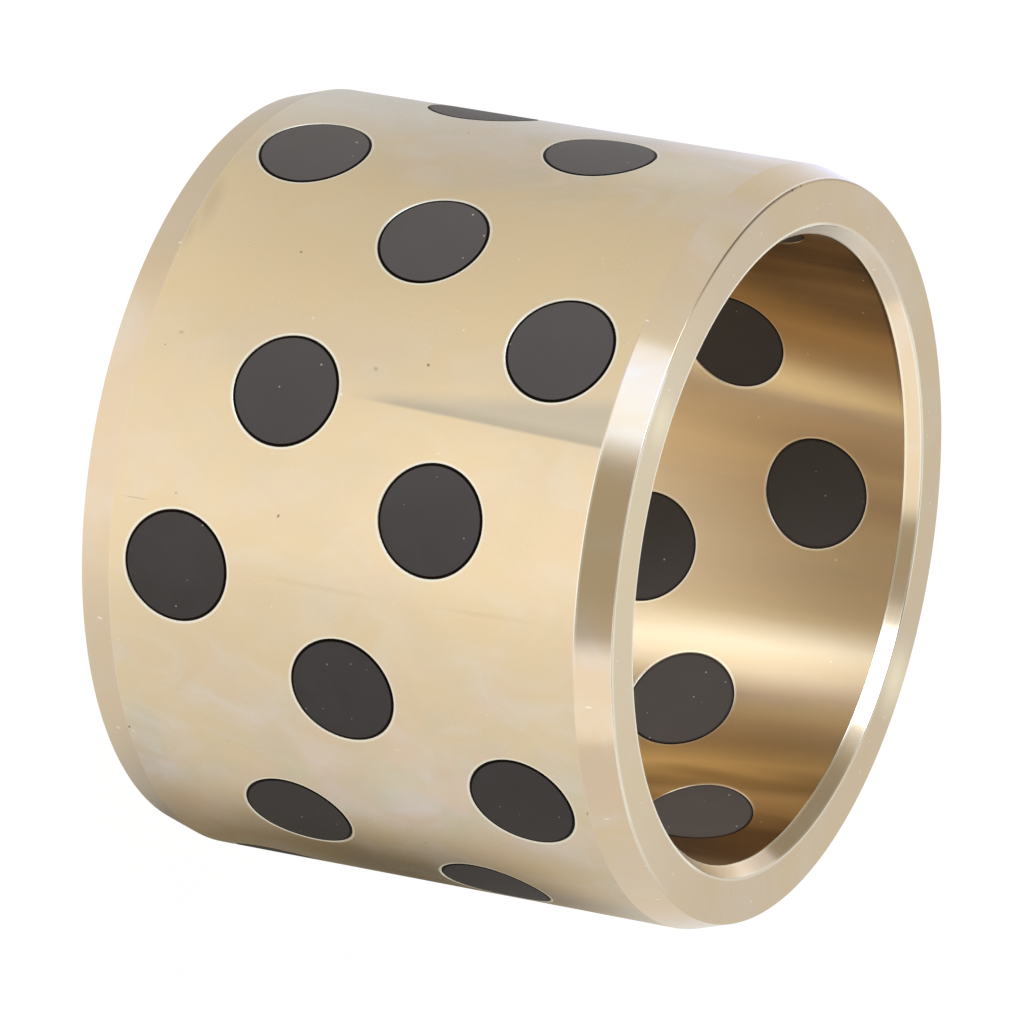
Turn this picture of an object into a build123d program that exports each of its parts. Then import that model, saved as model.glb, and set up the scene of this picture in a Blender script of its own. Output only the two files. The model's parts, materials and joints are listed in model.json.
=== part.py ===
"""Plain bearing bush for dry running: a turned bronze sleeve with graphite plugs let into its wall.

Millimetres. +Z is the axis of the bush, z = 0 is the end face that it stands on, and the first plug of
the lowest row lies on +X.
"""

import os

from build123d import *

# The turned sleeve
bore_diameter = 70.0
wall = 7.5
length = 64.5
lead_in_length = 4.0  # the cone at each end of the outside, measured along the axis
lead_in_depth = 1.2  # and measured across it
mouth_length = 1.6  # the chamfer at each end of the bore, along the axis
mouth_depth = 1.2  # and across it

# The graphite plugs, in rows round the wall
plug_diameter = 12.2
glue_line = 0.1  # film of adhesive between a plug and its hole
row_count = 5
row_spacing = 10.0
row_turn = 43.6  # degrees from one row to the next
plugs_in_row = 5

bore_radius = bore_diameter / 2
outer_radius = bore_radius + wall
past_the_wall = 2 * outer_radius
plug_radius = plug_diameter / 2
hole_radius = plug_radius + glue_line
plug_turn = 360 / plugs_in_row
lowest_row = (length - (row_count - 1) * row_spacing) / 2

plug_places = [
    (lowest_row + row * row_spacing, row * row_turn + plug * plug_turn)
    for row in range(row_count)
    for plug in range(plugs_in_row)
]


def radial_plane(height, angle):
    """The plane through the axis at that height, whose normal points outwards at that angle."""
    outwards = Vector(1, 0, 0).rotate(Axis.Z, angle)
    return Plane(origin=(0, 0, height), x_dir=(0, 0, 1), z_dir=outwards)


os.makedirs("parts", exist_ok=True)

# Sleeve: its section is revolved, then the plug holes are drilled right through the wall.
with BuildPart() as bronze_sleeve:
    with BuildSketch(Plane.XZ):
        with BuildLine():
            Polyline(
                (bore_radius, mouth_length),
                (bore_radius, length - mouth_length),
                (bore_radius + mouth_depth, length),
                (outer_radius - lead_in_depth, length),
                (outer_radius, length - lead_in_length),
                (outer_radius, lead_in_length),
                (outer_radius - lead_in_depth, 0),
                (bore_radius + mouth_depth, 0),
                close=True,
            )
        make_face()
    revolve(axis=Axis.Z)
    for height, angle in plug_places:
        with BuildSketch(radial_plane(height, angle)):
            Circle(hole_radius)
        extrude(amount=past_the_wall, mode=Mode.SUBTRACT)
bronze_sleeve.part.label = "bronze_sleeve"
export_step(bronze_sleeve.part, "parts/bronze_sleeve.step")

# Plugs: each is a graphite rod, turned off flush with the sleeve outside and in the bore.
for number, (height, angle) in enumerate(plug_places, start=1):
    with BuildPart() as graphite_plug:
        with BuildSketch(radial_plane(height, angle)):
            Circle(plug_radius)
        extrude(amount=past_the_wall)
        with BuildSketch(Plane.XY):
            Circle(outer_radius)
            Circle(bore_radius, mode=Mode.SUBTRACT)
        extrude(amount=length, mode=Mode.INTERSECT)
    graphite_plug.part.label = f"graphite_plug_{number:02d}"
    export_step(graphite_plug.part, f"parts/{graphite_plug.part.label}.step")
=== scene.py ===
"""Plain bearing bush for dry running: a turned bronze sleeve with graphite plugs let into its wall.

Metres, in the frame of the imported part: +Z is the axis of the bush and z = 0 the end that it stands on.
"""
import json
import math

import bpy
from mathutils import Matrix, Vector
from mathutils.geometry import delaunay_2d_cdt


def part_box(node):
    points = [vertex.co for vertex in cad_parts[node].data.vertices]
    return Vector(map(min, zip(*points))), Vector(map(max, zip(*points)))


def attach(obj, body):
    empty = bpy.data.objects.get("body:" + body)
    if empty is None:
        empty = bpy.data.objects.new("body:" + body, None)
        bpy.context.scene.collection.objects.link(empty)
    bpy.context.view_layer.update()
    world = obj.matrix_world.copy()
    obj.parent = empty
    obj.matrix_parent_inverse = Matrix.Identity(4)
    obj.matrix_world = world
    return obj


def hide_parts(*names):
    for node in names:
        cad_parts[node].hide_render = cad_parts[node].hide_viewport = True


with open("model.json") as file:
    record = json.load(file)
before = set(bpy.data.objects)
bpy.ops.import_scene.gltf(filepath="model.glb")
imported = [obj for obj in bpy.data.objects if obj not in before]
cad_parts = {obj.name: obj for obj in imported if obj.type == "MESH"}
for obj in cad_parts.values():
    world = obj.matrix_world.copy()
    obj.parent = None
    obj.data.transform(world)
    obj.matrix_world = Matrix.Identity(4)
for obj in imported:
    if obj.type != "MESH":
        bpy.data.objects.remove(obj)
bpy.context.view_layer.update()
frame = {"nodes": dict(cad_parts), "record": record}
mm = 0.001

# ---------------------------------------------------------------------------------------------------
# The bronze sleeve. Cast bearing bronze, turned all over: two lead-in cones outside, two mouths in the
# bore, and rows of holes drilled through the wall and lightly deburred. Every edge is broken by hand.
# Its mesh is laid point by point, so that the shading follows the true turned surfaces.
# ---------------------------------------------------------------------------------------------------
mounts = {mount["name"]: mount for mount in frame["record"]["mounts"]}
sleeve_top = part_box("bronze_sleeve")[1]
length = sleeve_top.z
outer_radius = sleeve_top.x
bore_radius = mounts["shaft_bore"]["dims"]["r_mm"] * mm
lead_in_length = (length - mounts["housing_seat"]["dims"]["length_mm"] * mm) / 2
mouth_length = (length - mounts["shaft_bore"]["dims"]["length_mm"] * mm) / 2
lead_in_depth = 1.2 * mm
mouth_depth = 1.2 * mm
shoulder_rounding = 0.7 * mm
edge_rounding = 0.16 * mm
bore_edge_rounding = 0.3 * mm

plugs_in_row = 5
row_turn = math.radians(43.6)
row_heights = []
for row in range(plugs_in_row):
    lowest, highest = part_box(f"graphite_plug_{row * plugs_in_row + 1:02d}")
    row_heights.append((lowest.z + highest.z) / 2)
row_spacing = row_heights[1] - row_heights[0]
plug_radius = (highest.z - lowest.z) / 2
glue_line = 0.1 * mm
hole_radius = plug_radius + glue_line
rim_rounding = 0.15 * mm
plug_places = [
    (height, row * row_turn + plug * math.tau / plugs_in_row)
    for row, height in enumerate(row_heights)
    for plug in range(plugs_in_row)
]

steps_round = 360  # flats in each turned circle
steps_round_hole = 96
corner_steps = 5
rim_steps = 4
grid_step = 1.3 * mm
rings_round_hole = ((0.45 * mm, 96), (0.9 * mm, 64), (1.7 * mm, 40))  # how far from it, and points in it
clear_of_hole = 2.4 * mm
circle_turns = [math.tau * i / steps_round for i in range(steps_round)]
hole_turns = [math.tau * i / steps_round_hole for i in range(steps_round_hole)]
WALL, TURNED, BORED = range(3)  # the three finishes, in the order of the material slots

points, normals, faces, finishes = [], [], [], []


def add_point(radius, angle, height, outwards, upwards):
    """A vertex of the sleeve, with the slope of the surface there as its normal."""
    points.append((radius * math.cos(angle), radius * math.sin(angle), height))
    normals.append((outwards * math.cos(angle), outwards * math.sin(angle), upwards))
    return len(points) - 1


def add_circle(radius, height, outwards, upwards):
    return [add_point(radius, turn, height, outwards, upwards) for turn in circle_turns]


def join_circles(first, second, finish):
    for i in range(len(first)):
        j = (i + 1) % len(first)
        faces.append((first[i], first[j], second[j], second[i]))
        finishes.append(finish)


def round_corner(before, corner, after, rounding):
    """The spots and slopes along the arc that rounds off one corner of the turned section."""
    corner = Vector(corner)
    coming = (corner - Vector(before)).normalized()
    going = (Vector(after) - corner).normalized()
    bend = coming.angle(going)
    inwards = (going - coming * math.cos(bend)) / math.sin(bend)
    start = corner - coming * rounding * math.tan(bend / 2)
    for step in range(corner_steps + 1):
        a = bend * step / corner_steps
        spot = start + (coming * math.sin(a) + inwards * (1 - math.cos(a))) * rounding
        yield spot, coming * math.sin(a) - inwards * math.cos(a)


end_outline = [
    (outer_radius, length / 2),
    (outer_radius, length - lead_in_length),
    (outer_radius - lead_in_depth, length),
    (bore_radius + mouth_depth, length),
    (bore_radius, length - mouth_length),
    (bore_radius, length / 2),
]
end_roundings = [shoulder_rounding, edge_rounding, edge_rounding, bore_edge_rounding]
upper_circles, lower_circles = [], []
for before, corner, after, rounding in zip(end_outline, end_outline[1:], end_outline[2:], end_roundings):
    for spot, slope in round_corner(before, corner, after, rounding):
        upper_circles.append(add_circle(spot.x, spot.y, slope.x, slope.y))
        lower_circles.append(add_circle(spot.x, length - spot.y, slope.x, -slope.y))
for first, second in zip(upper_circles, upper_circles[1:]):
    join_circles(first, second, TURNED)
for first, second in zip(lower_circles, lower_circles[1:]):
    join_circles(second, first, TURNED)


def on_wall(radius, place, away, turn):
    """The angle and height of a spot on a round wall, so far from the middle of a plug hole."""
    height, angle = place
    return angle + math.asin(away * math.cos(turn) / radius), height + away * math.sin(turn)


def clear_of_holes(radius, angle, height):
    """Whether a spot on a round wall keeps well away from every plug hole."""
    for hole_height, hole_angle in plug_places:
        across = radius * math.sin(angle - hole_angle)
        away = math.hypot(across, height - hole_height)
        if math.cos(angle - hole_angle) >= 0 and away <= hole_radius + clear_of_hole:
            return False
    return True


def wall_sheet(radius, side, low_circle, high_circle):
    """One wall with its holes. Spread flat as a ring, it is filled with triangles, and they are bent back."""
    low, high = points[low_circle[0]][2], points[high_circle[0]][2]
    flat, origin, loop_of = [], [], []

    def lay(index, angle, height, loop):
        spread = math.exp((height - low) / radius)
        flat.append(Vector((spread * math.cos(angle), spread * math.sin(angle))))
        origin.append(index)
        loop_of.append(loop)
        return len(flat) - 1

    def scatter(angle, height):
        lay(add_point(radius, angle, height, side, 0), angle, height, -len(flat))

    loops = []
    for number, (circle, height) in enumerate(((low_circle, low), (high_circle, high))):
        loops.append([lay(index, turn, height, number) for index, turn in zip(circle, circle_turns)])
    rims = []
    for number, place in enumerate(plug_places, start=2):
        rim, loop = [], []
        for turn in hole_turns:
            angle, height = on_wall(radius, place, hole_radius + rim_rounding, turn)
            rim.append(add_point(radius, angle, height, side, 0))
            loop.append(lay(rim[-1], angle, height, number))
        rims.append(rim)
        loops.append(loop)
        for away, count in rings_round_hole:
            for i in range(count):
                scatter(*on_wall(radius, place, hole_radius + away, math.tau * (i + 0.5) / count))
    rows = round((high - low) / grid_step)
    columns = round(math.tau * radius / grid_step)
    for row in range(1, rows):
        height = low + (high - low) * row / rows
        for column in range(columns):
            angle = math.tau * (column + row % 2 / 2) / columns
            if clear_of_holes(radius, angle, height):
                scatter(angle, height)
    edges = [(loop[i - 1], loop[i]) for loop in loops for i in range(len(loop))]
    _, _, triangles, source, _, _ = delaunay_2d_cdt(flat, edges, [], 0, 1e-9)
    for triangle in triangles:
        corners = [source[i][0] for i in triangle]
        if len({loop_of[i] for i in corners}) == 1:
            continue  # it would close a hole or an end
        corner_points = [origin[i] for i in corners]
        faces.append(tuple(corner_points if side < 0 else reversed(corner_points)))
        finishes.append(WALL if side > 0 else BORED)
    return rims


outer_rims = wall_sheet(outer_radius, 1, lower_circles[0], upper_circles[0])
bore_rims = wall_sheet(bore_radius, -1, lower_circles[-1], upper_circles[-1])

# Each hole is lined from its outer rim to its rim in the bore, over a rounded lip at either end.
bends = [math.pi / 2 * step / rim_steps for step in range(1, rim_steps + 1)]
lip = [(rim_rounding * (1 - math.sin(bend)), rim_rounding * (1 - math.cos(bend)), bend) for bend in bends]
for place, outer_rim, bore_rim in zip(plug_places, outer_rims, bore_rims):
    rings = [outer_rim]
    for wall_radius, side, steps in ((outer_radius, 1, lip), (bore_radius, -1, lip[::-1])):
        for away, depth, bend in steps:
            ring = []
            for turn in hole_turns:
                angle, height = on_wall(wall_radius - side * depth, place, hole_radius + away, turn)
                ring.append(add_point(wall_radius - side * depth, angle, height, 1, 0))
                sideways, upwards = math.cos(turn), math.sin(turn)
                across = Vector((-math.sin(place[1]) * sideways, math.cos(place[1]) * sideways, upwards))
                slope = Vector(normals[-1]) * side * math.cos(bend) - across * math.sin(bend)
                normals[-1] = tuple(slope.normalized())
            rings.append(ring)
    rings.append(bore_rim)
    for step, (first, second) in enumerate(zip(rings, rings[1:])):
        join_circles(first, second, WALL if step <= rim_steps else BORED)


def add_object(name, data):
    made = bpy.data.objects.new(name, data)
    bpy.context.scene.collection.objects.link(made)
    return made


sleeve_mesh = bpy.data.meshes.new("bronze_sleeve_turned")
sleeve_mesh.from_pydata(points, [], faces)
sleeve_mesh.polygons.foreach_set("use_smooth", [True] * len(faces))
sleeve_mesh.polygons.foreach_set("material_index", finishes)
sleeve_mesh.validate()
sleeve_mesh.normals_split_custom_set_from_vertices(normals)
sleeve = add_object("bronze_sleeve_turned", sleeve_mesh)


class Nodes:
    """Adds nodes to one tree and joins them up: a value is a number, a colour or another node's socket."""

    def __init__(self, tree):
        self.tree = tree

    def give(self, socket, value):
        if isinstance(value, bpy.types.NodeSocket):
            self.tree.links.new(value, socket)
        else:
            socket.default_value = value

    def add(self, kind, values=(), **settings):
        made = self.tree.nodes.new(kind)
        for name, setting in settings.items():
            setattr(made, name, setting)
        for name, value in dict(values).items():
            self.give(made.inputs[name], value)
        return made

    def maths(self, operation, *values):
        made = self.add("ShaderNodeMath", operation=operation)
        for socket, value in zip(made.inputs, values):
            self.give(socket, value)
        return made.outputs[0]

    def total(self, operation, values):
        """All the values taken together two by two, as for their product or the largest of them."""
        so_far = values[0]
        for value in values[1:]:
            so_far = self.maths(operation, so_far, value)
        return so_far

    def product(self, *values):
        return self.total("MULTIPLY", values)

    def largest(self, *values):
        return self.total("MAXIMUM", values)

    def scaled(self, value, factor, start):
        return self.maths("MULTIPLY_ADD", value, factor, start)

    def apart(self, first, second):
        return self.maths("ABSOLUTE", self.maths("SUBTRACT", first, second))

    def hypotenuse(self, across, above):
        return self.maths("SQRT", self.scaled(across, across, self.product(above, above)))

    def ramp(self, value, none_at, full_at):
        """0 up to one value and 1 from the other on, with a soft step between them."""
        limits = {"Value": value, "From Min": none_at, "From Max": full_at}
        return self.add("ShaderNodeMapRange", limits, interpolation_type="SMOOTHSTEP").outputs["Result"]

    def round_ramp(self, angle, none_at, full_at):
        """The same by degrees."""
        return self.ramp(angle, math.radians(none_at), math.radians(full_at))

    def stretch(self, angle, none_before, full_from, full_to, none_after):
        """1 along one stretch, by degrees, with a soft end on either side."""
        return self.product(
            self.round_ramp(angle, none_before, full_from), self.round_ramp(angle, none_after, full_to)
        )

    def vector(self, *parts):
        return self.add("ShaderNodeCombineXYZ", enumerate(parts)).outputs[0]

    def vector_maths(self, operation, *values):
        return self.add("ShaderNodeVectorMath", enumerate(values), operation=operation).outputs

    def noise(self, vector, scale, detail, **values):
        inputs = {"Vector": vector, "Scale": scale, "Detail": detail} | values
        return self.add("ShaderNodeTexNoise", inputs).outputs[0]

    def cover(self, colour, paint, *shares):
        """One colour laid over another, as thickly as all the shares multiplied."""
        made = self.add("ShaderNodeMix", data_type="RGBA")
        values = (self.product(*shares), colour, paint)
        for socket, value in zip((made.inputs[0], made.inputs[6], made.inputs[7]), values):
            self.give(socket, (*value, 1) if isinstance(value, tuple) else value)
        return made.outputs[2]

    def bump(self, height, strength, distance):
        values = {"Height": height, "Strength": strength, "Distance": distance}
        return self.add("ShaderNodeBump", values).outputs[0]

    def dress(self, node, **values):
        """Gives a node its inputs by name, with _ for a space."""
        for name, value in values.items():
            self.give(node.inputs[name.replace("_", " ")], value)

    def call(self, group, **values):
        made = self.add("ShaderNodeGroup", node_tree=group)
        self.dress(made, **values)
        return made.outputs


def new_group(name, inputs, outputs, kind="ShaderNodeTree"):
    """A node group with named sockets, each given as its name and its kind."""
    tree = bpy.data.node_groups.new(name, kind)
    for way, sockets in (("INPUT", inputs), ("OUTPUT", outputs)):
        for socket_name, socket_kind in sockets.items():
            tree.interface.new_socket(socket_name, in_out=way, socket_type="NodeSocket" + socket_kind)
    nodes = Nodes(tree)
    return nodes, nodes.add("NodeGroupInput").outputs, nodes.add("NodeGroupOutput").inputs


# Where a spot lies on the bush: how far out, how far round, how high, and where on the wall laid flat.
nodes, given, result = new_group(
    "place on the bush",
    {"Position": "Vector"},
    {"Radius": "Float", "Angle": "Float", "Height": "Float", "Unrolled": "Vector"},
)
part = nodes.add("ShaderNodeSeparateXYZ", {0: given["Position"]}).outputs
radius = nodes.hypotenuse(part[0], part[1])
angle = nodes.maths("ARCTAN2", part[1], part[0])
unrolled = nodes.vector(nodes.product(angle, radius), part[2])
for name, value in (("Radius", radius), ("Angle", angle), ("Height", part[2]), ("Unrolled", unrolled)):
    nodes.give(result[name], value)
place_on_bush = nodes.tree

# How far a spot lies from the middle of the nearest plug.
nodes, given, result = new_group("distance from a plug", {"Position": "Vector"}, {"Distance": "Float"})
place = nodes.call(place_on_bush, Position=given["Position"])
plug_pitch = math.tau / plugs_in_row
rows_up = nodes.maths("DIVIDE", nodes.maths("SUBTRACT", place["Height"], row_heights[0]), row_spacing)
distances = []
for to_row in ("FLOOR", "CEIL"):  # the row below the spot and the row above it
    row = nodes.maths("MINIMUM", nodes.largest(nodes.maths(to_row, rows_up), 0), len(row_heights) - 1)
    turned = nodes.maths("SUBTRACT", place["Angle"], nodes.product(row, row_turn))
    nearest = nodes.maths("WRAP", turned, plug_pitch / 2, -plug_pitch / 2)
    across = nodes.product(nodes.maths("SINE", nearest), place["Radius"])
    above = nodes.product(nodes.maths("SUBTRACT", rows_up, row), row_spacing)
    distances.append(nodes.hypotenuse(across, above))
nodes.give(result["Distance"], nodes.total("MINIMUM", distances))
plug_distance = nodes.tree

# How far a spot lies from the nearest turned edge: both edges of an end face, and that of the bore.
nodes, given, result = new_group("distance from an edge", {"Position": "Vector"}, {"Distance": "Float"})
place = nodes.call(place_on_bush, Position=given["Position"])
above_middle = nodes.apart(place["Height"], length / 2)
distances = []
for edge_radius, edge_height in end_outline[2:5]:
    out = nodes.maths("SUBTRACT", place["Radius"], edge_radius)
    above = nodes.maths("SUBTRACT", above_middle, edge_height - length / 2)
    distances.append(nodes.hypotenuse(out, above))
nodes.give(result["Distance"], nodes.total("MINIMUM", distances))
edge_distance = nodes.tree

# Tarnish and wiped-off coolant: soft clouds with blurred borders.
nodes, given, result = new_group(
    "tarnish", {"Position": "Vector", "Patch": "Float", "Seed": "Float"}, {"Cloud": "Float", "Smear": "Float"}
)
scale = nodes.maths("DIVIDE", 1, given["Patch"])
shifted = nodes.vector_maths("ADD", given["Position"], given["Seed"])[0]
stretched = nodes.add("ShaderNodeMapping", {"Vector": shifted, "Scale": (1, 1, 0.7)}).outputs[0]
cloud = nodes.noise(shifted, scale, 2.0, Roughness=0.55, Distortion=0.5)
smear_and_painted_reflection = nodes.noise(stretched, scale, 3.0, Roughness=0.6, Distortion=1.0)
nodes.give(result["Cloud"], nodes.ramp(cloud, 0.28, 0.72))
nodes.give(result["Smear"], nodes.ramp(smear_and_painted_reflection, 0.38, 0.80))
tarnish = nodes.tree

# The fine lines that a turning tool leaves, and the grain of the cast metal under them.
nodes, given, result = new_group(
    "tool lines",
    {"Position": "Vector", "Along": "Float", "Pitch": "Float", "Grain": "Float"},
    {"Line": "Float", "Grain": "Float"},
)
line_number = nodes.maths("DIVIDE", given["Along"], given["Pitch"])
line = nodes.add(
    "ShaderNodeTexNoise",
    {"W": line_number, "Scale": 1.0, "Detail": 2.0, "Roughness": 0.7},
    noise_dimensions="1D",
)
nodes.give(result["Line"], line.outputs[0])
nodes.give(result["Grain"], nodes.noise(given["Position"], nodes.maths("DIVIDE", 1, given["Grain"]), 2.0))
tool_lines = nodes.tree

# Dust and tiny chips, thinly scattered over a surface laid flat.
nodes, given, result = new_group(
    "specks",
    {"Flat": "Vector", "Spacing": "Float", "Size": "Float", "Share": "Float"},
    {"Speck": "Float"},
)
cells = nodes.add(
    "ShaderNodeTexVoronoi",
    {"Vector": given["Flat"], "Scale": nodes.maths("DIVIDE", 1, given["Spacing"])},
    voronoi_dimensions="2D",
).outputs
draw = nodes.add("ShaderNodeSeparateColor", {0: cells["Color"]}).outputs
chosen = nodes.maths("LESS_THAN", draw[0], given["Share"])
reach = nodes.product(given["Size"], nodes.scaled(draw[1], 0.8, 0.4))
away = nodes.product(cells["Distance"], given["Spacing"])
near = nodes.ramp(nodes.maths("DIVIDE", away, reach), 1.0, 0.55)
nodes.give(result["Speck"], nodes.product(near, chosen))
specks = nodes.tree

# One mark on a wall laid flat: a soft-edged oval, with its place, its length and width, and its lean.
nodes, given, result = new_group(
    "mark",
    {
        "Unrolled": "Vector",
        "Middle": "Vector",
        "Length": "Float",
        "Width": "Float",
        "Lean": "Float",
        "Softness": "Float",
    },
    {"Mark": "Float"},
)
moved = nodes.vector_maths("SUBTRACT", given["Unrolled"], given["Middle"])[0]
leaned = nodes.add(
    "ShaderNodeVectorRotate", {"Vector": moved, "Angle": given["Lean"]}, rotation_type="Z_AXIS"
).outputs[0]
oval = nodes.vector_maths("DIVIDE", leaned, nodes.vector(given["Width"], given["Length"], 1.0))[0]
out = nodes.vector_maths("LENGTH", oval)["Value"]
nodes.give(result["Mark"], nodes.ramp(out, 1.0, nodes.maths("SUBTRACT", 1, given["Softness"])))
mark = nodes.tree


def marks_on(nodes, unrolled, radius, marks):
    """The deepest of several marks: degrees round, mm up, mm long and wide, lean, softness and depth."""
    found = []
    for degrees, height, long, wide, lean, softness, depth in marks:
        shape = nodes.call(
            mark,
            Unrolled=unrolled,
            Middle=(radius * math.radians(degrees), height * mm, 0),
            Length=long * mm / 2,
            Width=wide * mm / 2,
            Lean=math.radians(lean),
            Softness=softness,
        )
        found.append(nodes.product(shape["Mark"], depth))
    return nodes.largest(*found)


def new_material(name):
    """A material with its nodes, its shader, and the spot on the surface."""
    material = bpy.data.materials.new(name)
    material.use_nodes = True
    nodes = Nodes(material.node_tree)
    shader = material.node_tree.nodes["Principled BSDF"]
    return material, nodes, shader, nodes.add("ShaderNodeTexCoord").outputs["Object"]


def bronze_finish(name, anisotropy):
    """A bronze finish of the sleeve, grooved round the axis: its nodes, shader, spot and place."""
    bronze, nodes, shader, position = new_material(name)
    nodes.dress(
        shader,
        Metallic=1.0,
        Anisotropic=anisotropy,
        Anisotropic_Rotation=0.25,
        Tangent=nodes.add("ShaderNodeTangent", direction_type="RADIAL", axis="Z").outputs[0],
    )
    sleeve_mesh.materials.append(bronze)
    return nodes, shader, position, nodes.call(place_on_bush, Position=position)


gold = (0.87, 0.69, 0.44)
rosy = (0.86, 0.67, 0.54)
greenish = (0.74, 0.68, 0.48)
hazy = (0.88, 0.84, 0.80)
painted_reflection_grey = (0.64, 0.56, 0.43)
# Whitish for the dried wiping and the dust, and for a painted highlight line on the cone.
whitish_and_highlight = (0.98, 0.92, 0.82)
fresh = (0.93, 0.73, 0.44)
# Polished bronze for real bright marks, dust and rims, and for the painted highlight along the shoulder.
polished_and_highlight = (1.0, 0.93, 0.78)
# Deburred bronze for the real rims of the holes, and for the painted highlights along the edges of the end
# faces.
deburred_and_highlight = (1.0, 0.93, 0.76)
# Dark brown for real dirt and pits, and for painted shade: along the top face's outer edge, below the bore's
# mouth and at the painted reflection's lower edge.
dirt_and_shade = (0.13, 0.10, 0.07)
sheen_side = math.radians(50)  # the top face is painted lighter towards this side, and the wall is less tarnished there

# Outer wall: satin, tarnished in patches, with the rims of the plug holes bright from deburring.
nodes, shader, position, place = bronze_finish("wall bronze", 0.3)
angle = place["Angle"]
height = place["Height"]
patches = nodes.call(tarnish, Position=position, Patch=14 * mm, Seed=3.0)
hue = nodes.call(tarnish, Position=position, Patch=7 * mm, Seed=11.0)
lines = nodes.call(tool_lines, Position=position, Along=height, Pitch=0.12 * mm, Grain=0.25 * mm)
from_plug = nodes.call(plug_distance, Position=position)["Distance"]

from_sheen_side = nodes.maths("WRAP", nodes.maths("SUBTRACT", angle, sheen_side), math.pi, -math.pi)
tarnish_share = nodes.scaled(nodes.round_ramp(nodes.maths("ABSOLUTE", from_sheen_side), 15, 65), 0.6, 0.3)
colour = nodes.cover(gold, nodes.cover(rosy, greenish, hue["Cloud"]), patches["Cloud"], tarnish_share)
colour = nodes.cover(colour, hazy, hue["Smear"], nodes.product(tarnish_share, 0.7))
colour = nodes.cover(colour, fresh, patches["Smear"], 0.5)
golden_stretch = nodes.round_ramp(nodes.apart(angle, math.radians(19)), 20, 9)
colour = nodes.cover(colour, fresh, golden_stretch, 0.75)

# Down by the end that it stands on, one side has been wiped with something that dried whitish.
wiped = nodes.product(nodes.stretch(angle, -80, -45, -22, 5), nodes.ramp(height, 50 * mm, 5 * mm))
colour = nodes.cover(colour, whitish_and_highlight, wiped, 0.8)

# A grey band runs along the wall from the rim of a plug and widens towards the end: a painted reflection,
# with a darker painted line along its lower side.
reflection_start = 28.5 * mm
reflection_end = length - lead_in_length
along_reflection = nodes.maths("DIVIDE", nodes.maths("SUBTRACT", height, reflection_start), reflection_end - reflection_start)
low_side = nodes.scaled(along_reflection, math.radians(1.4), math.radians(43.1))
high_side = nodes.scaled(along_reflection, math.radians(-5.4), math.radians(42.7))
below = nodes.maths("SUBTRACT", low_side, angle)
beyond = nodes.maths("SUBTRACT", angle, high_side)
smear_and_painted_reflection = nodes.product(
    nodes.round_ramp(below, 0, 0.6), nodes.round_ramp(beyond, -1.5, 2), nodes.ramp(along_reflection, 0, 0.25)
)
colour = nodes.cover(colour, painted_reflection_grey, smear_and_painted_reflection, 0.8)
reflection_edge_shade = nodes.product(smear_and_painted_reflection, nodes.round_ramp(below, 2.4, 0.6))
colour = nodes.cover(colour, dirt_and_shade, reflection_edge_shade, 0.16)

dark_marks = [
    (15.0, 5.0, 3.4, 12.0, -8, 1.0, 0.16),
    (20.5, 4.2, 2.4, 8.0, -6, 1.0, 0.14),
    (21.6, 18.2, 0.5, 0.4, 0, 0.7, 0.6),
    (38.2, 32.0, 0.9, 0.7, 30, 0.9, 0.35),
    (36.3, 37.9, 0.5, 0.5, 0, 0.7, 0.7),
    (37.7, 8.1, 0.9, 0.6, 0, 0.9, 0.3),
    (61.9, 24.2, 0.35, 0.55, 30, 0.6, 0.75),
    (62.9, 6.8, 4.0, 0.12, -1, 0.6, 0.4),
    (61.2, 11.6, 0.5, 0.4, 0, 0.8, 0.35),
    (71.3, 30.0, 22.0, 1.1, 1, 1.0, 0.07),
    (71.0, 50.0, 18.0, 1.0, -1, 1.0, 0.06),
    (101.5, 4.2, 0.5, 0.35, 0, 0.6, 0.9),
    (102.6, 3.8, 0.9, 0.4, 40, 0.7, 0.8),
    (101.7, 60.3, 0.3, 0.9, 15, 0.7, 0.5),
    (103.8, 63.0, 0.25, 0.8, 10, 0.7, 0.5),
    (132.0, 51.0, 28.0, 14.0, 0, 1.0, 0.34),
]
bright_marks = [
    (32.1, 22.8, 0.35, 0.5, 0, 0.6, 0.9),
    (30.0, 40.5, 0.4, 0.35, 0, 0.6, 0.9),
    (32.5, 45.8, 0.3, 0.3, 0, 0.6, 0.8),
    (42.8, 28.8, 0.8, 0.5, 40, 0.7, 1.0),
    (27.6, 59.6, 0.3, 0.3, 0, 0.6, 0.9),
    (102.2, 4.6, 0.4, 0.5, 0, 0.6, 1.0),
    (96.0, 38.1, 1.3, 0.25, -25, 0.7, 0.5),
    (-11.0, 52.0, 26.0, 15.0, 0, 1.0, 0.6),
    (-28.0, 9.0, 14.0, 10.0, 0, 1.0, 0.5),
]
bright = marks_on(nodes, place["Unrolled"], outer_radius, bright_marks)
dark = marks_on(nodes, place["Unrolled"], outer_radius, dark_marks)
dust = nodes.call(specks, Flat=place["Unrolled"], Spacing=9 * mm, Size=0.13 * mm, Share=0.4)["Speck"]
pits = nodes.call(specks, Flat=place["Unrolled"], Spacing=14 * mm, Size=0.16 * mm, Share=0.35)["Speck"]
rim = nodes.ramp(from_plug, hole_radius + 0.37 * mm, hole_radius + 0.26 * mm)
colour = nodes.cover(colour, polished_and_highlight, nodes.largest(bright, dust), 0.8)
colour = nodes.cover(colour, dirt_and_shade, nodes.largest(dark, nodes.product(pits, 0.5)))
dents = nodes.largest(nodes.maths("SUBTRACT", dark, 0.4), 0)
relief = nodes.scaled(lines["Line"], 0.4, nodes.product(lines["Grain"], 0.3))
relief = nodes.maths("SUBTRACT", relief, nodes.product(dents, 4.0))
roughness = nodes.scaled(patches["Cloud"], 0.06, nodes.scaled(rim, 0.18, 0.21))
nodes.dress(
    shader,
    Base_Color=nodes.cover(colour, deburred_and_highlight, rim),
    Roughness=nodes.scaled(lines["Grain"], 0.04, roughness),
    Normal=nodes.bump(relief, 0.06, 0.01 * mm),
)
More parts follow.
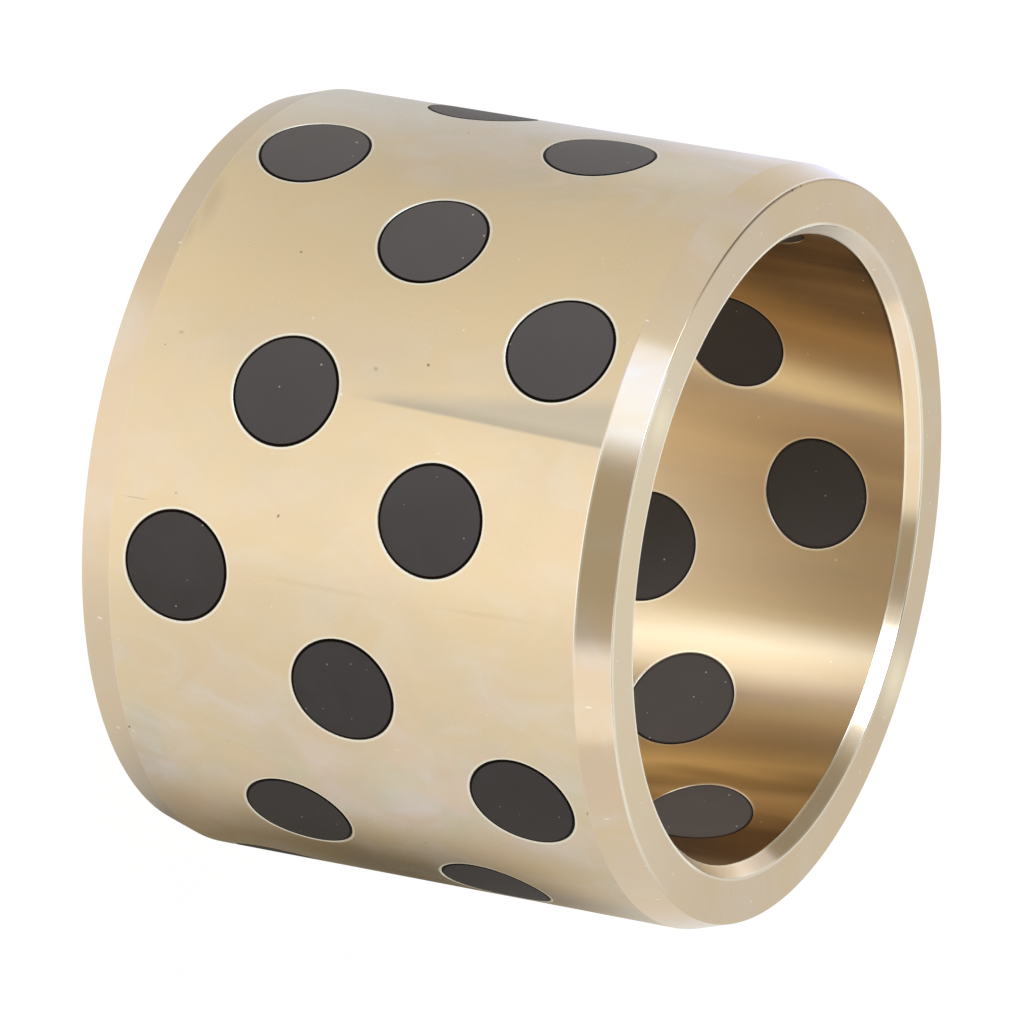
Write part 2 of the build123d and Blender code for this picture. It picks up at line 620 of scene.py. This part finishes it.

# End faces, lead-in cones and mouths: cleaner and brighter, with the edges painted bright, partly rubbed
# metal and partly painted highlight.
# Colours for painted sheen and painted shade on the turned surfaces.
sheen = (1.0, 0.89, 0.63)
painted_shade_tone = (0.69, 0.55, 0.36)
face_outside = outer_radius - lead_in_depth
face_inside = bore_radius + mouth_depth
nodes, shader, position, place = bronze_finish("turned bronze", 0.3)
angle = place["Angle"]
height = place["Height"]
radius = place["Radius"]
patches = nodes.call(tarnish, Position=position, Patch=12 * mm, Seed=5.0)
lines = nodes.call(tool_lines, Position=position, Along=radius, Pitch=0.1 * mm, Grain=0.2 * mm)
from_edge = nodes.call(edge_distance, Position=position)["Distance"]
on_top = nodes.maths("GREATER_THAN", height, length - 0.1 * mm)
off_top = nodes.maths("SUBTRACT", 1, on_top)
by_outside = nodes.maths("GREATER_THAN", radius, face_outside - 1 * mm)
around = nodes.vector(nodes.product(angle, outer_radius), radius)
colour = nodes.cover(gold, rosy, patches["Cloud"], 0.5)
colour = nodes.cover(colour, hazy, patches["Smear"], 0.4)

# The top face is painted lighter towards the sheen side and darker on the other: painted light and painted
# shade.
facing = nodes.maths("COSINE", nodes.maths("SUBTRACT", angle, sheen_side))
painted_sheen = nodes.product(nodes.largest(facing, 0), nodes.round_ramp(angle, 2, 30))
colour = nodes.cover(colour, sheen, painted_sheen, on_top, 0.5)
colour = nodes.cover(colour, painted_shade_tone, nodes.maths("SUBTRACT", 1, painted_sheen), on_top, 0.4)
# The cone at the foot is painted darker, more so away from the sheen side: painted shade where the bush
# stands.
standing_end = nodes.maths("LESS_THAN", height, lead_in_length)
foot_shade = nodes.scaled(nodes.round_ramp(nodes.apart(angle, sheen_side), 13, 28), 0.5, 0.12)
colour = nodes.cover(colour, painted_shade_tone, standing_end, foot_shade)
# Two painted highlights on the top face.
gleams = [(37, 38.6, 8.0, 10.0, 0, 1.0, 1.0), (-143, 38.8, 11.0, 13.0, 0, 1.0, 1.0)]
gleam = nodes.product(marks_on(nodes, around, outer_radius, gleams), on_top)
colour = nodes.cover(colour, sheen, gleam)
# The edges away from the outside are painted lighter, partly rubbed metal and partly painted highlight, with
# dust scattered over them.
rubbed_and_highlit = nodes.product(nodes.ramp(from_edge, 0.32 * mm, 0.18 * mm), nodes.maths("SUBTRACT", 1, by_outside))
dust = nodes.call(specks, Flat=around, Spacing=4 * mm, Size=0.16 * mm, Share=0.35)["Speck"]
colour = nodes.cover(colour, deburred_and_highlight, nodes.largest(nodes.product(rubbed_and_highlit, 0.6), dust))

# Along two stretches both edges of the top face are painted lighter still, partly buffed metal and partly
# painted highlight; the outer one has a broad painted highlight in one place and two bright nicks.
buffed_highlight = (1.0, 0.955, 0.80)
by_inner = nodes.ramp(nodes.apart(radius, face_inside + 0.08 * mm), 0.32 * mm, 0.12 * mm)
near_stretch = nodes.round_ramp(nodes.apart(angle, math.radians(52)), 86, 76)
far_stretch = nodes.round_ramp(nodes.apart(angle, math.radians(-102)), 32, 20)
by_inner = nodes.product(by_inner, nodes.largest(near_stretch, far_stretch))
by_outer = nodes.ramp(nodes.apart(radius, face_outside - 0.16 * mm), 0.40 * mm, 0.1 * mm)
by_outer = nodes.product(by_outer, nodes.stretch(angle, 26, 36, 100, 130))
shine = nodes.product(
    nodes.largest(by_inner, nodes.product(by_outer, 0.8)), nodes.scaled(patches["Cloud"], 0.4, 0.7)
)
nicks_and_highlight = [
    (35.0, 41.1, 0.9, 9.6, 0, 0.4, 1.0),
    (32.0, 39.25, 0.5, 0.35, 0, 0.6, 1.0),
    (46.1, 41.15, 0.5, 0.4, 0, 0.6, 1.0),
]
shine = nodes.largest(shine, marks_on(nodes, around, outer_radius, nicks_and_highlight))
shine = nodes.maths("MINIMUM", nodes.product(shine, on_top), 1)
colour = nodes.cover(colour, buffed_highlight, shine)
# A painted highlight along the shoulder, on one stretch.
shoulder = nodes.ramp(nodes.apart(height, length - lead_in_length), 0.30 * mm, 0.16 * mm)
colour = nodes.cover(colour, polished_and_highlight, shoulder, nodes.stretch(angle, 41, 45, 68, 80), 0.8)

# A dark line is painted along one stretch of the outer edge of the top face, as painted shade, with two dark
# spots at its end and a painted highlight line beside it on the cone. The mouth is dusty on the same side,
# and matt on the other.
painted_edge_shade = nodes.product(
    nodes.ramp(nodes.apart(radius, face_outside - 0.08 * mm), 0.22 * mm, 0.08 * mm),
    on_top,
    nodes.scaled(nodes.round_ramp(angle, -20, -15), 0.65, 0.35),
    nodes.stretch(angle, -45, -38, 5, 24),
    0.7,
)
dark_spots = [(-16.2, 41.2, 0.45, 0.6, 0, 0.5, 1.0), (-19.1, 41.2, 0.35, 0.45, 0, 0.5, 1.0)]
colour = nodes.cover(colour, dirt_and_shade, nodes.largest(painted_edge_shade, marks_on(nodes, around, outer_radius, dark_spots)))
painted_cone_highlight = nodes.product(
    nodes.ramp(height, length - 0.38 * mm, length - 0.26 * mm),
    off_top,
    by_outside,
    nodes.stretch(angle, -52, -36, -16, 8),
    0.5,
)
colour = nodes.cover(colour, whitish_and_highlight, painted_cone_highlight)
in_mouth = nodes.product(nodes.maths("LESS_THAN", radius, face_inside), off_top)
dusty = nodes.product(in_mouth, nodes.stretch(angle, -60, -42, 0, 20))
matt_mouth = nodes.product(in_mouth, nodes.ramp(facing, -0.40, -0.22), nodes.round_ramp(angle, -10, 10))
matt = nodes.largest(
    matt_mouth, nodes.product(shine, 0.8), nodes.product(gleam, 0.6), nodes.product(painted_cone_highlight, 0.7)
)
nodes.dress(
    shader,
    Base_Color=nodes.cover(colour, whitish_and_highlight, dusty),
    Metallic=nodes.scaled(matt, -0.6, 1.0),
    Roughness=nodes.scaled(lines["Grain"], 0.05, nodes.scaled(dusty, 0.3, 0.13)),
    Normal=nodes.bump(lines["Line"], 0.2, 0.01 * mm),
)

# Bore: bored to size, so its reflections are drawn out along the axis and broken up by the grain. Old oil has
# left it in streaks, which fan out a little towards the mouth; the colours round the bore also paint shade,
# browner towards both sides.
bored = (0.73, 0.59, 0.39)
pale = (0.82, 0.70, 0.50)
paler_deep = (0.98, 0.80, 0.54)
sandy = (0.71, 0.58, 0.38)
oiled = (0.64, 0.51, 0.31)
olive_brown = (0.58, 0.45, 0.31)
golden = (0.90, 0.69, 0.36)
tan = (0.78, 0.57, 0.31)
grey_brown = (0.65, 0.49, 0.33)
chestnut = (0.67, 0.47, 0.25)
umber = (0.46, 0.32, 0.17)
dark_umber = (0.39, 0.26, 0.14)
brown = (0.28, 0.19, 0.11)
streaks_and_shade_round = [
    (-170, bored), (-110, tan), (-92, tan), (-82, brown), (-66, brown), (-57, chestnut), (-53, tan),
    (-50, umber), (-45, golden), (-40, tan), (-33, golden), (-28, grey_brown), (-23, bored),
    (-18, pale), (-12, oiled), (-2, sandy), (6, sandy), (12, olive_brown), (17, sandy),
    (21, olive_brown), (28, olive_brown), (32, golden), (38, tan), (47, tan), (52.5, umber),
    (62, dark_umber), (70, brown), (82, umber), (96, bored),
]  # degrees round from the far side of the bore, seen from the front
nodes, shader, position, place = bronze_finish("bored bronze", 0.7)
height = place["Height"]
lines = nodes.call(tool_lines, Position=position, Along=height, Pitch=0.15 * mm, Grain=0.3 * mm)
from_plug = nodes.call(plug_distance, Position=position)["Distance"]
drawn_out = nodes.add("ShaderNodeMapping", {"Vector": position, "Scale": (1, 1, 0.12)}).outputs[0]
wavering = nodes.call(tarnish, Position=drawn_out, Patch=5 * mm, Seed=8.0)
round_from = nodes.maths("WRAP", nodes.maths("ADD", place["Angle"], math.radians(125)), math.pi, -math.pi)
fanning = nodes.scaled(nodes.maths("SUBTRACT", height, 50 * mm), 0.0055 / mm, 1)
streak = nodes.scaled(nodes.product(round_from, fanning), 1 / math.tau, 0.5)
streak = nodes.maths("ADD", streak, nodes.scaled(wavering["Cloud"], 0.006, -0.003))
streaks_and_shade = nodes.add("ShaderNodeValToRGB", {"Fac": streak})
stops = streaks_and_shade.color_ramp.elements
stops.remove(stops[0])
stops[0].position = 0.5 + streaks_and_shade_round[0][0] / 360
stops[0].color = (*streaks_and_shade_round[0][1], 1)
for degrees, streak_colour in streaks_and_shade_round[1:]:
    stops.new(0.5 + degrees / 360).color = (*streak_colour, 1)
colour = nodes.cover(streaks_and_shade.outputs["Color"], tan, wavering["Smear"], 0.3)
# Deeper in, a stretch round the far side is paler.
deeper_in = nodes.ramp(height, 60 * mm, 38 * mm)
colour = nodes.cover(colour, paler_deep, deeper_in, nodes.stretch(round_from, -18, -6, 24, 34), 0.45)
stain = marks_on(nodes, place["Unrolled"], bore_radius, [(-173, 50.0, 18.0, 2.8, 0, 1.0, 0.8)])
colour = nodes.cover(colour, umber, stain)
dust = nodes.call(specks, Flat=place["Unrolled"], Spacing=8 * mm, Size=0.16 * mm, Share=0.5)["Speck"]
rim = nodes.product(
    nodes.ramp(from_plug, hole_radius + 0.36 * mm, hole_radius + 0.24 * mm),
    nodes.round_ramp(nodes.maths("ABSOLUTE", round_from), 62, 42),
    0.6,
)
colour = nodes.cover(colour, polished_and_highlight, nodes.largest(rim, dust))
# A dark line just below the mouth, on one stretch round: painted shade.
mouth_start = length - mouth_length
mouth_shade_line = nodes.ramp(height, mouth_start - 0.6 * mm, mouth_start - 0.3 * mm)
nodes.dress(
    shader,
    Base_Color=nodes.cover(colour, dirt_and_shade, mouth_shade_line, nodes.stretch(round_from, 25, 58, 130, 160), 0.8),
    Roughness=nodes.scaled(lines["Grain"], 0.10, 0.27),
    Normal=nodes.bump(nodes.scaled(lines["Line"], 0.5, lines["Grain"]), 0.25, 0.01 * mm),
)

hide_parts("bronze_sleeve")
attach(sleeve, "root")

# ---------------------------------------------------------------------------------------------------
# The graphite plugs. Pressed graphite rod, glued into the holes and turned off with the bronze: matt,
# nearly black at the rim where the glue wet it, and dusted with bright crumbs from the turning.
# ---------------------------------------------------------------------------------------------------
black_lead = (0.050, 0.041, 0.037)
worn_lead = (0.060, 0.052, 0.050)
lit_lead = (0.072, 0.063, 0.060)
shaded_lead = (0.034, 0.026, 0.021)
wet_edge = (0.010, 0.005, 0.002)
bronze_crumb = (0.62, 0.56, 0.48)
graphite, nodes, shader, position = new_material("pressed graphite")
place = nodes.call(place_on_bush, Position=position)
angle = place["Angle"]
patches = nodes.call(tarnish, Position=position, Patch=5 * mm, Seed=2.0)
lines = nodes.call(tool_lines, Position=position, Along=place["Height"], Pitch=0.14 * mm, Grain=0.15 * mm)
from_plug = nodes.call(plug_distance, Position=position)["Distance"]
crumbs = nodes.call(specks, Flat=place["Unrolled"], Spacing=3.2 * mm, Size=0.12 * mm, Share=0.3)["Speck"]
# Plugs round some of the bush are painted greyer and round the rest blacker: painted light and painted shade.
painted_lighter_side = nodes.largest(nodes.round_ramp(angle, 85, 50), nodes.round_ramp(angle, 140, 162))
wet = nodes.product(
    nodes.ramp(from_plug, plug_radius - 0.22 * mm, plug_radius - 0.14 * mm),
    nodes.scaled(nodes.ramp(place["Radius"], bore_radius, outer_radius), 0.6, 0.4),
)
colour = nodes.cover(black_lead, worn_lead, patches["Cloud"])
colour = nodes.cover(colour, lit_lead, painted_lighter_side, 0.7)
colour = nodes.cover(colour, shaded_lead, nodes.stretch(angle, 78, 115, 140, 162), 0.8)
colour = nodes.cover(colour, bronze_crumb, crumbs, 0.7)
nodes.dress(
    shader,
    Base_Color=nodes.cover(colour, wet_edge, wet),
    Metallic=wet,
    Roughness=nodes.scaled(lines["Grain"], 0.2, 0.42),
    Specular_IOR_Level=0.36,
    Normal=nodes.bump(nodes.scaled(lines["Line"], 0.4, lines["Grain"]), 0.3, 0.02 * mm),
)
for name, node in frame["nodes"].items():
    if name.startswith("graphite_plug"):
        node.material_slots[0].material = graphite

# ---------------------------------------------------------------------------------------------------
# The glue lines. A film of black adhesive fills the gap round each plug, from one side of the wall to
# the other, and stands a little below both surfaces where it shrank as it set.
# ---------------------------------------------------------------------------------------------------
glue, nodes, shader, position = new_material("black adhesive")
lines = nodes.call(tool_lines, Position=position, Along=0.0, Pitch=1.0 * mm, Grain=0.3 * mm)
nodes.dress(
    shader,
    Base_Color=nodes.cover((0.005, 0.003, 0.002), (0.016, 0.010, 0.006), lines["Grain"]),
    Roughness=nodes.scaled(lines["Grain"], 0.3, 0.35),
    Specular_IOR_Level=0.15,
)

film_inputs = {
    "Outer Radius": ("Float", outer_radius),
    "Bore Radius": ("Float", bore_radius),
    "Plug Radius": ("Float", plug_radius + 0.01 * mm),
    "Hole Radius": ("Float", hole_radius - 0.005 * mm),
    "Shrinkage": ("Float", 0.05 * mm),
    "Unevenness": ("Float", 0.06 * mm),
    "Lowest Row": ("Float", row_heights[0]),
    "Row Spacing": ("Float", row_spacing),
    "Row Turn": ("Float", row_turn),
    "Rows": ("Int", len(row_heights)),
    "Plugs in Row": ("Int", plugs_in_row),
    "Steps Round": ("Int", steps_round_hole),
    "Seed": ("Int", 7),
    "Adhesive": ("Material", glue),
}
nodes, given, result = new_group(
    "glue lines",
    {"Geometry": "Geometry"} | {name: kind for name, (kind, _) in film_inputs.items()},
    {"Geometry": "Geometry"},
    "GeometryNodeTree",
)


def rows_and_places(nodes, number, row_length):
    """Which row a number belongs to, and its place in that row."""
    row = nodes.maths("FLOOR", nodes.maths("DIVIDE", nodes.maths("ADD", number, 0.5), row_length))
    return row, nodes.maths("SUBTRACT", number, nodes.product(row, row_length))


# The film of one plug starts as a flat grid, a few points across, which is bent round into a tube.
index = nodes.add("GeometryNodeInputIndex").outputs[0]
corners = 5  # of the film's section, with the first one again to close it
grid = {"Vertices X": nodes.maths("ADD", given["Steps Round"], 1), "Vertices Y": corners}
film = nodes.add("GeometryNodeMeshGrid", grid).outputs[0]
step, corner = rows_and_places(nodes, index, corners)
corner = nodes.maths("MODULO", corner, corners - 1)
turn = nodes.product(nodes.maths("DIVIDE", step, given["Steps Round"]), math.tau)
on_outside = nodes.maths("LESS_THAN", nodes.apart(corner, 1.5), 1)
on_hole = nodes.maths("GREATER_THAN", corner, 1.5)
thickness = nodes.maths("SUBTRACT", given["Hole Radius"], given["Plug Radius"])
away = nodes.scaled(on_hole, thickness, given["Plug Radius"])
across = nodes.product(away, nodes.maths("COSINE", turn))
above = nodes.product(away, nodes.maths("SINE", turn))
walls = []
for wall in ("Bore Radius", "Outer Radius"):
    squares = nodes.maths("SUBTRACT", nodes.product(given[wall], given[wall]), nodes.product(across, across))
    walls.append(nodes.maths("SQRT", squares))
outwards = nodes.scaled(on_outside, nodes.maths("SUBTRACT", walls[1], walls[0]), walls[0])
round_film = nodes.vector(nodes.maths("COSINE", turn), nodes.maths("SINE", turn))
uneven = nodes.add(
    "ShaderNodeTexNoise",
    {"Vector": round_film, "W": given["Seed"], "Scale": 9.0, "Detail": 2.0},
    noise_dimensions="4D",
).outputs[0]
depth = nodes.scaled(uneven, given["Unevenness"], given["Shrinkage"])
inwards = nodes.product(nodes.scaled(on_outside, -2, 1), depth)
spot = nodes.vector(nodes.maths("ADD", outwards, inwards), across, above)
film = nodes.add("GeometryNodeSetPosition", {"Geometry": film, "Position": spot}).outputs[0]
film = nodes.add("GeometryNodeMergeByDistance", {"Geometry": film, "Distance": 0.002 * mm}).outputs[0]
film = nodes.add("GeometryNodeFlipFaces", {"Mesh": film}).outputs[0]

# It is set round every plug: row by row, each row turned on from the one below.
count = nodes.product(given["Rows"], given["Plugs in Row"])
middles = nodes.add("GeometryNodePoints", {"Count": count}).outputs[0]
row, plug = rows_and_places(nodes, index, given["Plugs in Row"])
middle = nodes.vector(0, 0, nodes.scaled(row, given["Row Spacing"], given["Lowest Row"]))
middles = nodes.add("GeometryNodeSetPosition", {"Geometry": middles, "Position": middle}).outputs[0]
plug_turn = nodes.product(nodes.maths("DIVIDE", plug, given["Plugs in Row"]), math.tau)
rotation = nodes.vector(0, 0, nodes.scaled(row, given["Row Turn"], plug_turn))
films = nodes.add(
    "GeometryNodeInstanceOnPoints", {"Points": middles, "Instance": film, "Rotation": rotation}
).outputs[0]
films = nodes.add("GeometryNodeRealizeInstances", {"Geometry": films}).outputs[0]
films = nodes.add("GeometryNodeSetMaterial", {"Geometry": films, "Material": given["Adhesive"]}).outputs[0]
nodes.give(result["Geometry"], films)

glue_lines = add_object("glue_lines", bpy.data.meshes.new("glue_lines"))
modifier = glue_lines.modifiers.new("glue lines", "NODES")
modifier.node_group = nodes.tree
for socket in nodes.tree.interface.items_tree:
    if socket.in_out == "INPUT" and socket.name in film_inputs:
        modifier[socket.identifier] = film_inputs[socket.name][1]
made = glue_lines.evaluated_get(bpy.context.evaluated_depsgraph_get())
plain_mesh = bpy.data.meshes.new_from_object(made)
glue_lines.modifiers.remove(modifier)
glue_lines.data = plain_mesh
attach(glue_lines, "root")

# ---------------------------------------------------------------------------------------------------
# The studio. White paper to stand on and two soft lamps, and round them what only the polished metal
# sees: a glow in the paper, a ring of white and dark cards, two bright strips that reach up from the
# bore, and a dark card overhead.
# ---------------------------------------------------------------------------------------------------
looking = Vector((-0.526038, -0.735421, -0.427129))
up = Vector((0.844121, -0.512700, -0.156836))
front = math.atan2(-looking.y, -looking.x)  # the side of the bush that faces the camera
half = 3.0
floor_corners = [(-half, -half, 0), (half, -half, 0), (half, half, 0), (-half, half, 0)]
floor_mesh = bpy.data.meshes.new("floor")
floor_mesh.from_pydata(floor_corners, [], [(0, 1, 2, 3)])
floor = add_object("floor", floor_mesh)

# How bright the paper looks in the metal, by degrees round from the front: it fades towards both sides.
paper_levels = [
    (-180, 0.96), (-152, 0.82), (-122, 0.62), (-107, 0.60), (-61, 0.68), (-31, 0.80), (0, 1.0), (15, 1.0),
    (30, 0.87), (46, 0.80), (91, 0.69), (107, 0.66), (122, 0.68), (152, 0.74), (180, 0.96),
]
paper = bpy.data.materials.new("paper")
paper.use_nodes = True
paper.node_tree.nodes.clear()
nodes = Nodes(paper.node_tree)
place = nodes.call(place_on_bush, Position=nodes.add("ShaderNodeTexCoord").outputs["Object"])
radius = place["Radius"]
azimuth = nodes.maths("WRAP", nodes.maths("SUBTRACT", place["Angle"], front), math.pi, -math.pi)
level = nodes.add("ShaderNodeFloatCurve", {"Value": nodes.scaled(azimuth, 1 / math.tau, 0.5)})
curve = level.mapping.curves[0]
curve.points[0].location = (0, paper_levels[0][1])
curve.points[1].location = (1, paper_levels[-1][1])
for degrees, brightness in paper_levels[1:-1]:
    curve.points.new(0.5 + degrees / 360, brightness)
level.mapping.update()

# The glow is darkened by a painted shadow of the bush on the side away from the key lamp, and a little where
# it stands.
close_by = nodes.largest(nodes.maths("SUBTRACT", 95 * mm, radius), 0)
closer_in = nodes.scaled(close_by, math.radians(0.6) / mm, azimuth)
turned_away = nodes.product(nodes.round_ramp(closer_in, 88, 126), nodes.round_ramp(azimuth, 176, 158))
shade = nodes.product(turned_away, nodes.ramp(radius, 170 * mm, 100 * mm))
depth = nodes.scaled(nodes.ramp(radius, 50 * mm, 85 * mm), -0.16, -0.66)
far_out = nodes.scaled(nodes.ramp(radius, 95 * mm, 140 * mm), 0.09, 1)
by_foot = nodes.product(nodes.ramp(radius, 60 * mm, 45 * mm), nodes.stretch(azimuth, 46, 64, 76, 92))
unshaded = nodes.scaled(by_foot, -0.22, far_out)
inside_bore = nodes.maths("LESS_THAN", radius, bore_radius)
level_in_bore = nodes.scaled(nodes.ramp(radius, 16 * mm, 36 * mm), -0.6, 1.25)
level_outside = nodes.product(level.outputs[0], nodes.scaled(shade, depth, unshaded))
strength = nodes.add("ShaderNodeMix", {0: inside_bore, 2: level_outside, 3: level_in_bore}).outputs[0]
behind = nodes.round_ramp(nodes.maths("ABSOLUTE", azimuth), 110, 158)
upper_side = nodes.maths("LESS_THAN", azimuth, 0)
glow = nodes.cover((1.0, 1.0, 1.0), (1.0, 1.07, 1.34), behind, upper_side)
glow = nodes.cover(glow, (1.0, 0.85, 0.6), shade)


def seen_in_metal(nodes):
    """The light path, and whether the ray comes from metal or through glass."""
    path = nodes.add("ShaderNodeLightPath").outputs
    return path, nodes.largest(path["Is Glossy Ray"], path["Is Transmission Ray"])


mirrored = nodes.add("ShaderNodeEmission", {"Color": glow, "Strength": strength}).outputs[0]
plain = nodes.add("ShaderNodeBsdfDiffuse", {"Color": (0.8, 0.8, 0.8, 1)}).outputs[0]
white = nodes.add("ShaderNodeEmission", {"Strength": 1.06}).outputs[0]
path, in_metal = seen_in_metal(nodes)
lit = nodes.add("ShaderNodeMixShader", {0: in_metal, 1: plain, 2: mirrored}).outputs[0]
to_camera = nodes.product(path["Is Camera Ray"], 0.92)
seen = nodes.add("ShaderNodeMixShader", {0: to_camera, 1: lit, 2: white}).outputs[0]
nodes.add("ShaderNodeOutputMaterial", {0: seen})
floor_mesh.materials.append(paper)

world = bpy.data.worlds.new("studio")
bpy.context.scene.world = world
world.use_nodes = True
nodes = Nodes(world.node_tree)
path, in_metal = seen_in_metal(nodes)
strength = nodes.scaled(path["Is Camera Ray"], 0.70, nodes.scaled(in_metal, 0.42, 0.30))
nodes.dress(world.node_tree.nodes["Background"], Color=(1, 1, 1, 1), Strength=strength)

lamp_distance = 0.9
card_distance = 0.8
card_step = 8  # degrees


def away_from_bush(azimuth, elevation, distance):
    """A spot round the bush, in degrees round from the front and up from the paper."""
    a, e = front + math.radians(azimuth), math.radians(elevation)
    return Vector((math.cos(a), math.sin(a), math.tan(e))) * distance


def soft_lamp(name, azimuth, elevation, width, level):
    """A square lamp for what isn't metal, as wide as so many degrees seen from the bush."""
    lamp = bpy.data.lights.new(name, "AREA")
    lamp.size = 2 * lamp_distance * math.tan(math.radians(width / 2))
    lamp.energy = level * math.pi * lamp.size**2
    made = add_object(name, lamp)
    made.location = away_from_bush(azimuth, elevation, lamp_distance)
    made.rotation_mode = "QUATERNION"
    made.rotation_quaternion = made.location.to_track_quat("Z", "Y")
    made.visible_camera = made.visible_glossy = False


def card(name, spots, level, colour=(1, 1, 1)):
    """A bright or dark card round the set, which only shows in the metal."""
    light = bpy.data.materials.new(name)
    light.use_nodes = True
    light.node_tree.nodes.clear()
    nodes = Nodes(light.node_tree)
    emission = nodes.add("ShaderNodeEmission", {"Color": (*colour, 1), "Strength": level})
    nodes.add("ShaderNodeOutputMaterial", {0: emission.outputs[0]})
    mesh = bpy.data.meshes.new(name)
    mesh.from_pydata(spots, [], [tuple(range(len(spots)))])
    mesh.materials.append(light)
    made = add_object(name, mesh)
    made.visible_camera = made.visible_diffuse = made.visible_shadow = False


def standing_card(name, left, right, low, high, *light):
    """A card round part of the set, from left to right and from low to high in degrees, with its light."""
    steps = max(1, round((right - left) / card_step))
    across = [left + (right - left) * i / steps for i in range(steps + 1)]
    outline = [(a, low) for a in across] + [(a, high) for a in reversed(across)]
    card(name, [away_from_bush(a, e, card_distance) for a, e in outline], *light)


def bore_strip(name, level, *outline):
    """A strip just inside the bore, its corners given in degrees round from the front and mm up."""
    reach = bore_radius - 1 * mm
    spots = [away_from_bush(a, math.degrees(math.atan2(height * mm, reach)), reach) for a, height in outline]
    card(name, spots, level)


cool = (0.88, 1.0, 1.22)
warm = (1.0, 0.94, 0.80)
soft_lamp("key lamp", -70, 42, 30, 19.0)
soft_lamp("fill lamp", 30, 50, 34, 1.0)
standing_card("key card, low", -52, -22, 0, 16, 1.2, cool)
standing_card("key card, high", -66, -24, 16, 56, 2.6, cool)
broad_strip = [(-38, 1), (-50, 1), (-62, 1), (-72, 1), (-78, 38), (-67, 38), (-56, 38), (-46, 38)]
bore_strip("broad strip in the bore", 2.1, *broad_strip)
bore_strip("narrow strip in the bore", 1.2, (98, 1), (116, 1), (102, 38), (84, 38))
standing_card("fill card, low", 37, 64, 0, 16, 0.98)
standing_card("fill card, high", 28, 112, 16, 56, 1.0)
standing_card("dark card by the camera", -18, 34, 2, 14, 0.42, warm)
standing_card("dark card over the camera", -14, 24, 14, 64, 0.42, warm)
standing_card("dark card behind", -130, -70, 12, 42, 0.32, warm)
overhead = [Vector((math.cos(turn), math.sin(turn), 2)) * 0.3 for turn in circle_turns[::15]]  # 24 corners
card("dark card overhead", overhead, 0.1, warm)

# ---------------------------------------------------------------------------------------------------
# The camera: a long lens from well back, turned on its side with the axis of the bush.
# ---------------------------------------------------------------------------------------------------
camera_data = bpy.data.cameras.new("camera")
camera_data.sensor_width = 36
camera_data.lens = 428.64
camera_data.clip_end = 10
camera = add_object("camera", camera_data)
turned_to = Matrix((looking.cross(up), up, -looking)).transposed().to_4x4()
camera.matrix_world = Matrix.Translation((0.708132, 0.991278, 0.607097)) @ turned_to
bpy.context.scene.camera = camera
bpy.context.scene.view_settings.view_transform = "Standard"
